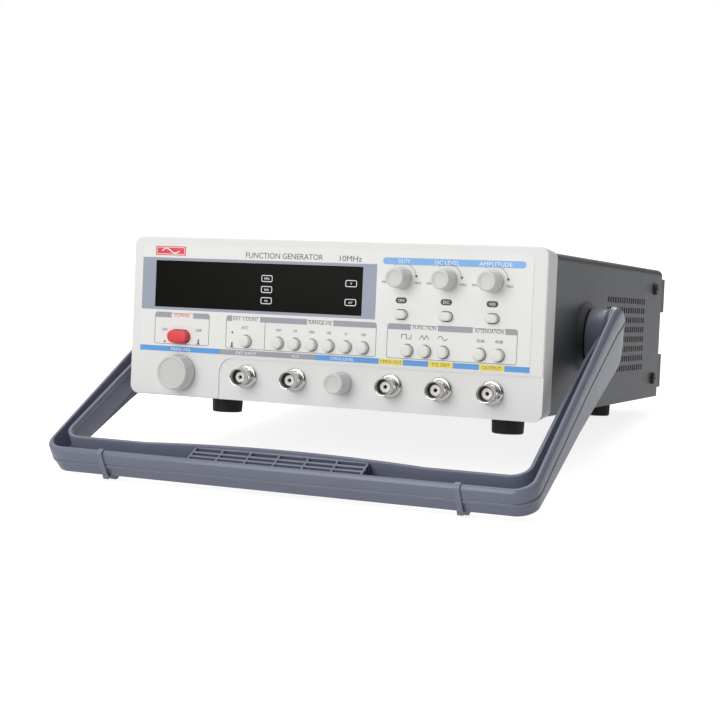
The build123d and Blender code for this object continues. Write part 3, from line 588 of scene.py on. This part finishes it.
def soft_box(bm, x0, x1, u0, u1, n0, n1):
    """A box with its upper edges cut back."""
    inset = BAR_EDGE
    foot = ((x0, u0), (x1, u0), (x1, u1), (x0, u1))
    face = ((x0 + inset, u0 + inset), (x1 - inset, u0 + inset),
            (x1 - inset, u1 - inset), (x0 + inset, u1 - inset))
    loft(bm, [[Vector((*point, n)) for point in outline]
              for outline, n in ((foot, n0), (foot, n1 - inset), (face, n1))])


def make_handle():
    """Arms and grip in one skin, a barrel and a bevelled disc at each pivot, and the grille's bars."""
    bm = bmesh.new()
    rings = []
    for outer, inner, a in handle_stations():
        ring = []
        for outside, inset, n in handle_section(outer[1], inner[1]):
            base, step = (outer, -inset) if outside else (inner, inset)
            ring.append(Vector((base[0] + step * math.cos(a), base[1] + step * math.sin(a), n)))
        rings.append(ring)
    loft(bm, rings)
    for side in (-1, 1):
        loft(bm, [[Vector((side * x, radius * math.cos(b), radius * math.sin(b)))
                   for b in (2 * math.pi * i / HUB_SIDES for i in range(HUB_SIDES))] for radius, x in HUB],
             closed=True)
    for box in grille_boxes():
        soft_box(bm, *box)
    add_piece(finish_mesh(bm, "handle_skin", 40), "handle", MATERIALS["handle_plastic"],
              ["handle_frame", "pivot_caps"], HANDLE_PLACE)


make_handle()


# ---- black sheets behind the side vents, painted shade for the inside of the case ----
SHADE_SHEET_Y, SHADE_SHEET_Z, SHADE_SHEET_X = (131, 231), (19, 68), (114.9, 115.75)


def make_vent_shade_sheets():
    bm = bmesh.new()
    (y0, y1), (z0, z1) = SHADE_SHEET_Y, SHADE_SHEET_Z
    for side in (-1, 1):
        loft(bm, [[Vector((side * x, y, z)) for y, z in ((y0, z0), (y1, z0), (y1, z1), (y0, z1))]
                  for x in SHADE_SHEET_X])
    # The black sheets are painted shade: they darken the inside of the case where it shows through the vents.
    add_piece(finish_mesh(bm, "vent_shade_sheets"), "root", MATERIALS["black_rubber"])


make_vent_shade_sheets()


# ---- printed legends ----
CAPITAL = 0.70        # height of the built-in font's capitals at size 1
TEXT_WIDTH = 0.92     # how far words with no width of their own are narrowed
PRINT_SINK = 0.02     # every plate starts this far behind the face it is printed on


class Print:
    """Collects the flat shapes of each ink, as closed plates a little thicker than real ink."""

    def __init__(self):
        self.sheets = {}

    def sheet(self, ink_name):
        return self.sheets.setdefault(ink_name, bmesh.new())

    def plate(self, ink_name, outline, face, layer=0):
        """One plate from its outline, (x, z) points in order."""
        top = face - PRINT_T * (1 + layer)
        rings = [[Vector((x, y, z)) for x, z in outline] for y in (face + PRINT_SINK, top)]
        loft(self.sheet(ink_name), rings)

    def band(self, ink_name, x0, x1, z0, z1, corners=(0, 0, 0, 0), layer=0):
        """A filled rectangle on the overlay; the corners' radii are in the order of rounded()."""
        self.plate(ink_name, rounded(x0, x1, z0, z1, corners), OVERLAY_FACE, layer)

    def frame(self, ink_name, x0, x1, z0, z1, radius, width, face=OVERLAY_FACE, layer=0):
        """A rounded rectangle drawn as a line."""
        outer = rounded(x0, x1, z0, z1, (radius,) * 4)
        inner = rounded(x0 + width, x1 - width, z0 + width, z1 - width, (max(radius - width, 0.01),) * 4)
        self.hollow(ink_name, outer, inner, face, layer)

    def hollow(self, ink_name, outer, inner, face, layer=0):
        """A plate with a hole in it; both outlines have the same number of points."""
        back, top = face + PRINT_SINK, face - PRINT_T * (1 + layer)
        rings = [[Vector((x, y, z)) for x, z in outline]
                 for y, outline in ((back, outer), (top, outer), (top, inner), (back, inner))]
        loft(self.sheet(ink_name), rings, closed=True)

    def line(self, ink_name, points, width, layer=0):
        """A line of even width on the overlay, through the points."""
        path = [Vector(point) for point in points]
        left, right = [], []
        for i, point in enumerate(path):
            before = (point - path[i - 1]).normalized() if i else None
            after = (path[i + 1] - point).normalized() if i + 1 < len(path) else None
            heading = ((before or after) + (after or before)).normalized()
            side = Vector((-heading.y, heading.x))
            reach = width / 2
            if before and after:
                reach /= max(0.35, abs(side.dot(Vector((-before.y, before.x)))))
            left.append(point + side * reach)
            right.append(point - side * reach)
        self.plate(ink_name, [tuple(p) for p in left + right[::-1]], OVERLAY_FACE, layer)

    def text(self, ink_name, words, x, z, height, width=None, face=OVERLAY_FACE, layer=0):
        """Words centred on x, with capitals of that height, fitted to a width if one is given."""
        curve = bpy.data.curves.new("words", "FONT")
        curve.body = words
        curve.size = 1.0
        curve.resolution_u = 3
        curve.extrude = 0.5
        holder = bpy.data.objects.new("words", curve)
        bpy.context.scene.collection.objects.link(holder)
        bpy.context.view_layer.update()
        mesh = bpy.data.meshes.new_from_object(holder.evaluated_get(bpy.context.evaluated_depsgraph_get()))
        bpy.data.objects.remove(holder)
        bpy.data.curves.remove(curve)
        xs = [vertex.co.x for vertex in mesh.vertices]
        scale_z = height / CAPITAL
        scale_x = width / (max(xs) - min(xs)) if width else scale_z * TEXT_WIDTH
        top = face - PRINT_T * (1 + layer)
        thick = face + PRINT_SINK - top
        middle = (max(xs) + min(xs)) / 2
        mesh.transform(Matrix(((scale_x, 0, 0, x - middle * scale_x), (0, 0, -thick, top + thick / 2),
                               (0, scale_z, 0, z - height / 2), (0, 0, 0, 1))))
        self.sheet(ink_name).from_mesh(mesh)
        bpy.data.meshes.remove(mesh)

    def done(self):
        """One piece for each ink, such as legend_grey for ink_grey."""
        for ink_name, bm in sorted(self.sheets.items()):
            name = ink_name.replace("ink_", "legend_")
            add_piece(finish_mesh(bm, name, 20), "root", INKS[ink_name])


def rounded(x0, x1, z0, z1, corners):
    """Outline of a rectangle with its own radius at lower left, lower right, upper right, upper left."""
    points = []
    places = ((x0, z0, 1, 1, 180), (x1, z0, -1, 1, 270), (x1, z1, -1, -1, 0), (x0, z1, 1, -1, 90))
    steps = 6
    for (x, z, sx, sz, start), radius in zip(places, corners):
        if radius <= 0:
            points.append((x, z))
            continue
        for i in range(steps + 1):
            a = math.radians(start + 90 * i / steps)
            points.append((x + sx * radius + radius * math.cos(a), z + sz * radius + radius * math.sin(a)))
    return points


def wave_points(kind, x, z, width, height):
    """A square wave's steps up, down and up, two peaks of a triangle wave, or one turn of a sine."""
    left, low, high = x - width / 2, z - height / 2, z + height / 2
    if kind == "square":
        return [(left, low), (left, high), (x, high), (x, low), (x + width / 2, low), (x + width / 2, high)]
    if kind == "triangle":
        return [(left + width * i / 4, high if i % 2 else low) for i in range(5)]
    return [(left + width * i / 24, z + height / 2 * math.sin(2 * math.pi * i / 24)) for i in range(25)]


def group_box(page, x0, x1, z0, z1, gaps):
    """A thin outline whose top is a grey band, open where a title stands."""
    page.frame("ink_line", x0, x1, z0, z1 - 0.4, 1.2, 0.3)
    edges = [x0] + [edge for gap in gaps for edge in gap] + [x1]
    for a, b in zip(edges[::2], edges[1::2]):
        page.band("ink_grey", a, b, z1 - 3.0, z1,
                  (0, 0, 1.6 if b == x1 else 0, 1.6 if a == x0 else 0), layer=1)
    for a, b in gaps:
        page.band("ink_ground", a, b, z1 - 2.4, z1 + 0.1)


def arrow(page, x, z, up=True, size=1.3):
    """A small solid triangle: button in, or the end of a knob's arc."""
    tip = 1 if up else -1
    page.plate("ink_text", [(x - size * 0.6, z - tip * size / 2), (x + size * 0.6, z - tip * size / 2),
                            (x, z + tip * size / 2)][::tip], OVERLAY_FACE)


def stemmed_mark(page, x, z):
    """A thick stem that stands on a wide low triangle: button out."""
    page.plate("ink_text", [(x - 1.3, z - 1.3), (x + 1.3, z - 1.3), (x + 0.45, z - 0.5), (x + 0.45, z + 1.5),
                            (x - 0.45, z + 1.5), (x - 0.45, z - 0.5)], OVERLAY_FACE)


def print_title(page):
    page.band("ink_red", -106, -87, 77.6, 82.6)
    page.frame("ink_white", -105.4, -87.6, 78.1, 82.1, 0.5, 0.3, layer=1)
    page.line("ink_white", wave_points("sine", -96.5, 80.1, 11, 2.6), 0.6, layer=1)
    page.text("ink_text", "FUNCTION GENERATOR", -26.5, 79.0, 3.0, 46)
    page.text("ink_text", "10MHz", 12.6, 78.8, 3.0, 12.7)


def print_display(page):
    """The surround of the window and the unit boxes on it."""
    outer = rounded(-114, 27.8, 47.5, 76.3, (0, 0, 0, 0))
    inner = rounded(-105.5, 20, 49, 74.8, (0, 0, 0, 0))
    page.hollow("ink_surround", outer, inner, OVERLAY_FACE)
    for words, x, z in (("MHz", -36.3, 66.7), ("kHz", -36.3, 60.8), ("Hz", -36.3, 54.8),
                        ("V", 13.3, 65.7), ("mV", 13.3, 55.8)):
        page.frame("ink_white", x - 3.3, x + 3.3, z - 1.8, z + 1.8, 0.9, 0.36, WINDOW_FACE)
        page.text("ink_white", words, x, z, 1.3, face=WINDOW_FACE)


def print_power(page):
    group_box(page, -105, -70.4, 28.5, 46.2, [(-94.5, -80.8)])
    page.text("ink_red", "POWER", -87.7, 44.8, 2.1, 9.6, layer=1)
    page.text("ink_text", "ON", -98.5, 36.5, 1.6)
    page.text("ink_text", "OFF", -77, 36.8, 1.6)
    arrow(page, -98.3, 30.1)
    stemmed_mark(page, -77, 30.4)


def print_ranges(page):
    """The external count and range groups, which share one outline."""
    group_box(page, -60, 29, 28, 46, [(-56.5, -39.3), (-11.3, 4.2)])
    page.text("ink_text", "EXT. COUNT", -48, 44.6, 2.1, 15.2, layer=1)
    page.text("ink_text", "RANGE-Hz", -3.5, 44.5, 2.1, 13.4, layer=1)
    page.line("ink_line", [(-36.2, 28.2), (-36.2, 43.2)], 0.3)
    page.text("ink_text", "EXT", -48.3, 39.7, 1.7)
    arrow(page, -56, 37)
    stemmed_mark(page, -56, 30.0)
    for i, words in enumerate(RANGES):
        page.text("ink_text", words, RANGE_X0 + RANGE_PITCH * i, 39.3, 1.5)


def print_functions(page):
    """The function and attenuation groups, which share one outline."""
    group_box(page, 35, 105.7, 28, 46, [(48, 63), (81.8, 99.2)])
    page.text("ink_text", "FUNCTION", 55.7, 44.6, 2.1, 12.6, layer=1)
    page.text("ink_text", "ATTENUATION", 90.6, 44.4, 2.0, 15.4, layer=1)
    for kind, x in (("square", 45.8), ("triangle", 55.7), ("sine", 65.8)):
        page.line("ink_text", wave_points(kind, x, 39.5, 5.2, 2.2), 0.34)
    page.text("ink_text", "20dB", 86.2, 39.3, 1.6)
    page.text("ink_text", "40dB", 96.0, 39.3, 1.6)


def print_small_knobs(page):
    """The title band over the small knobs, an arc and its limits round each, and the pill labels."""
    page.band("ink_pale_blue", 31, 108.5, 76.5, 80.0, (1.7,) * 4)
    for words, x, width in (("DUTY", 43, 6.4), ("DC LEVEL", 66.5, 13.2), ("AMPLITUDE", 92.5, 17.6)):
        page.text("ink_white", words, x, 78.2, 2.1, width, layer=1)
    start, stop, radius = 125, 12, 8.0
    bends = [math.radians(start + (stop - start) * i / 20) for i in range(21)]
    for x, pill in zip(SMALL_KNOBS.values(), ("ON", "DC", "WIDE")):
        page.line("ink_line", [(x + radius * math.cos(a), SMALL_KNOB_Z + radius * math.sin(a)) for a in bends],
                  0.25)
        arrow(page, x + 7.9, SMALL_KNOB_Z + 1.0, up=False, size=1.5)
        page.text("ink_text", "MIN", x - 9.6, 67.3, 1.35)
        page.text("ink_text", "MAX", x + 8.9, 67.3, 1.35)
        page.band("ink_dark", x - 3.0, x + 3.2, 56.5, 59.6, (1.5,) * 4)
        page.text("ink_white", pill, x + 0.1, 58.05, 1.5, 3.4, layer=1)


def print_jack_band(page):
    """The coloured band over the jacks; each block names what is below it."""
    blocks = [("ink_blue", -114, -63.5), ("ink_grey", -63.5, -5.5), ("ink_blue", -5.5, 31),
              ("ink_yellow", 31, 44.5), ("ink_blue", 44.5, 58.5), ("ink_yellow", 58.5, 72),
              ("ink_blue", 72, 86), ("ink_yellow", 86, 99.5), ("ink_blue", 99.5, 112.5)]
    for ink_name, x0, x1 in blocks:
        page.band(ink_name, x0, x1, 24.5, 27.4)
    for words, x, width in (("FREQ ADJ", -88, 12), ("EXT INPUT", -47, 12.5), ("VCF", -17.5, 4.6),
                            ("CMOS LEVEL", 10, 13.5)):
        page.text("ink_white", words, x, 25.9, 1.5, width, layer=1)
    for words, x, width in (("CMOS OUT", 37.8, 12), ("TTL OUT", 65.3, 10), ("OUTPUT", 92.8, 10)):
        page.text("ink_olive", words, x, 25.95, 1.7, width, layer=1)


panel_print = Print()
for print_part in (print_title, print_display, print_power, print_ranges, print_functions,
                   print_small_knobs, print_jack_band):
    print_part(panel_print)
panel_print.done()


# ---- floor, light and camera ----
# All in metres, in the row frame.
FLOOR_R, FLOOR_T, FLOOR_SIDES = 12.0, 0.02, 96
FLOOR_TONES = [(0.3, (0.37, 0.37, 0.37)), (0.7, (0.39, 0.39, 0.39))]
FLOOR_GLOW = (0.42, 0.84)        # as lit surfaces see it, and as the camera does
WORLD_LEAN = (-0.40, 0.0, 0.92)   # the surround is darker on the right
WORLD_STOPS = [(0.0, 0.07), (0.18, 0.22), (0.45, 0.60), (1.0, 1.0)]
CAMERA_PLACE = Vector((0.3288, -0.6995, 0.1324))    # from the middle of the front face's bottom edge
CAMERA_TILT, CAMERA_TURN = math.radians(82.09), math.radians(23.72)
CAMERA_LENS, CAMERA_SENSOR = 73.95, 36.0


def make_floor():
    """A pale disc that glows a little more to the camera than to the object it lights from below."""
    bm = bmesh.new()
    loft(bm, [[Vector((FLOOR_R * math.cos(a), FLOOR_R * math.sin(a), z))
               for a in (2 * math.pi * i / FLOOR_SIDES for i in range(FLOOR_SIDES))] for z in (-FLOOR_T, 0.0)])
    made = Nodes("floor")
    made.link(made.ramp(made.noise(3, 3), FLOOR_TONES), made.shader, "Base Color")
    made.shader.inputs["Roughness"].default_value = 0.9
    made.shader.inputs["Specular IOR Level"].default_value = 0.1
    made.shader.inputs["Emission Color"].default_value = (1, 1, 1, 1)
    seen = made.add("ShaderNodeLightPath").outputs["Is Camera Ray"]
    made.link(made.between(seen, *FLOOR_GLOW), made.shader, "Emission Strength")
    mesh = finish_mesh(bm, "floor")
    mesh.materials.append(made.material)
    floor = bpy.data.objects.new("floor", mesh)
    bpy.context.scene.collection.objects.link(floor)


def area_light(name, place, target, size, power):
    light = bpy.data.lights.new(name, "AREA")
    light.shape = "RECTANGLE"
    light.size, light.size_y = size
    light.energy = power
    lamp = bpy.data.objects.new(name, light)
    lamp.location = place
    lamp.rotation_euler = (Vector(target) - Vector(place)).to_track_quat("-Z", "Y").to_euler()
    bpy.context.scene.collection.objects.link(lamp)


def make_world():
    """White studio surround, dimmer near the horizon and on the right, which plated metal reflects."""
    world = bpy.data.worlds.new("studio")
    bpy.context.scene.world = world
    world.use_nodes = True
    tree = world.node_tree
    background = tree.nodes["Background"]
    place = tree.nodes.new("ShaderNodeTexCoord")
    height = tree.nodes.new("ShaderNodeVectorMath")
    height.operation = "DOT_PRODUCT"
    height.inputs[1].default_value = WORLD_LEAN
    ramp = tree.nodes.new("ShaderNodeValToRGB")
    path = tree.nodes.new("ShaderNodeLightPath")
    mix = tree.nodes.new("ShaderNodeMix")
    mix.data_type = "RGBA"
    tree.links.new(place.outputs["Generated"], height.inputs[0])
    tree.links.new(height.outputs["Value"], ramp.inputs["Fac"])
    while len(ramp.color_ramp.elements) < len(WORLD_STOPS):
        ramp.color_ramp.elements.new(0.5)
    for element, (position, level) in zip(ramp.color_ramp.elements, WORLD_STOPS):
        element.position = position
        element.color = (level, level, level, 1)
    tree.links.new(path.outputs["Is Camera Ray"], mix.inputs["Factor"])
    tree.links.new(ramp.outputs["Color"], mix.inputs[MIX_FIRST])
    mix.inputs[MIX_SECOND].default_value = (1, 1, 1, 1)
    tree.links.new(mix.outputs[MIX_RESULT], background.inputs["Color"])
    background.inputs["Strength"].default_value = 1.0


def make_camera():
    camera = bpy.data.objects.new("camera", bpy.data.cameras.new("camera"))
    camera.data.lens = CAMERA_LENS
    camera.data.sensor_width = CAMERA_SENSOR
    camera.location = PANEL.translation + CAMERA_PLACE
    camera.rotation_euler = (CAMERA_TILT, 0, CAMERA_TURN)
    bpy.context.scene.collection.objects.link(camera)
    bpy.context.scene.camera = camera
    bpy.context.scene.view_settings.view_transform = "Standard"


make_floor()
make_world()
area_light("key", (-0.45, -1.85, 0.85), (0, 0, 0.05), (1.2, 1.2), 17)
area_light("top", (-0.1, 0.3, 1.6), (0, 0, 0.05), (0.6, 1.6), 7)
area_light("back", (-0.35, 1.9, 1.2), (0, 0.05, 0.06), (1.0, 0.8), 12)
make_camera()
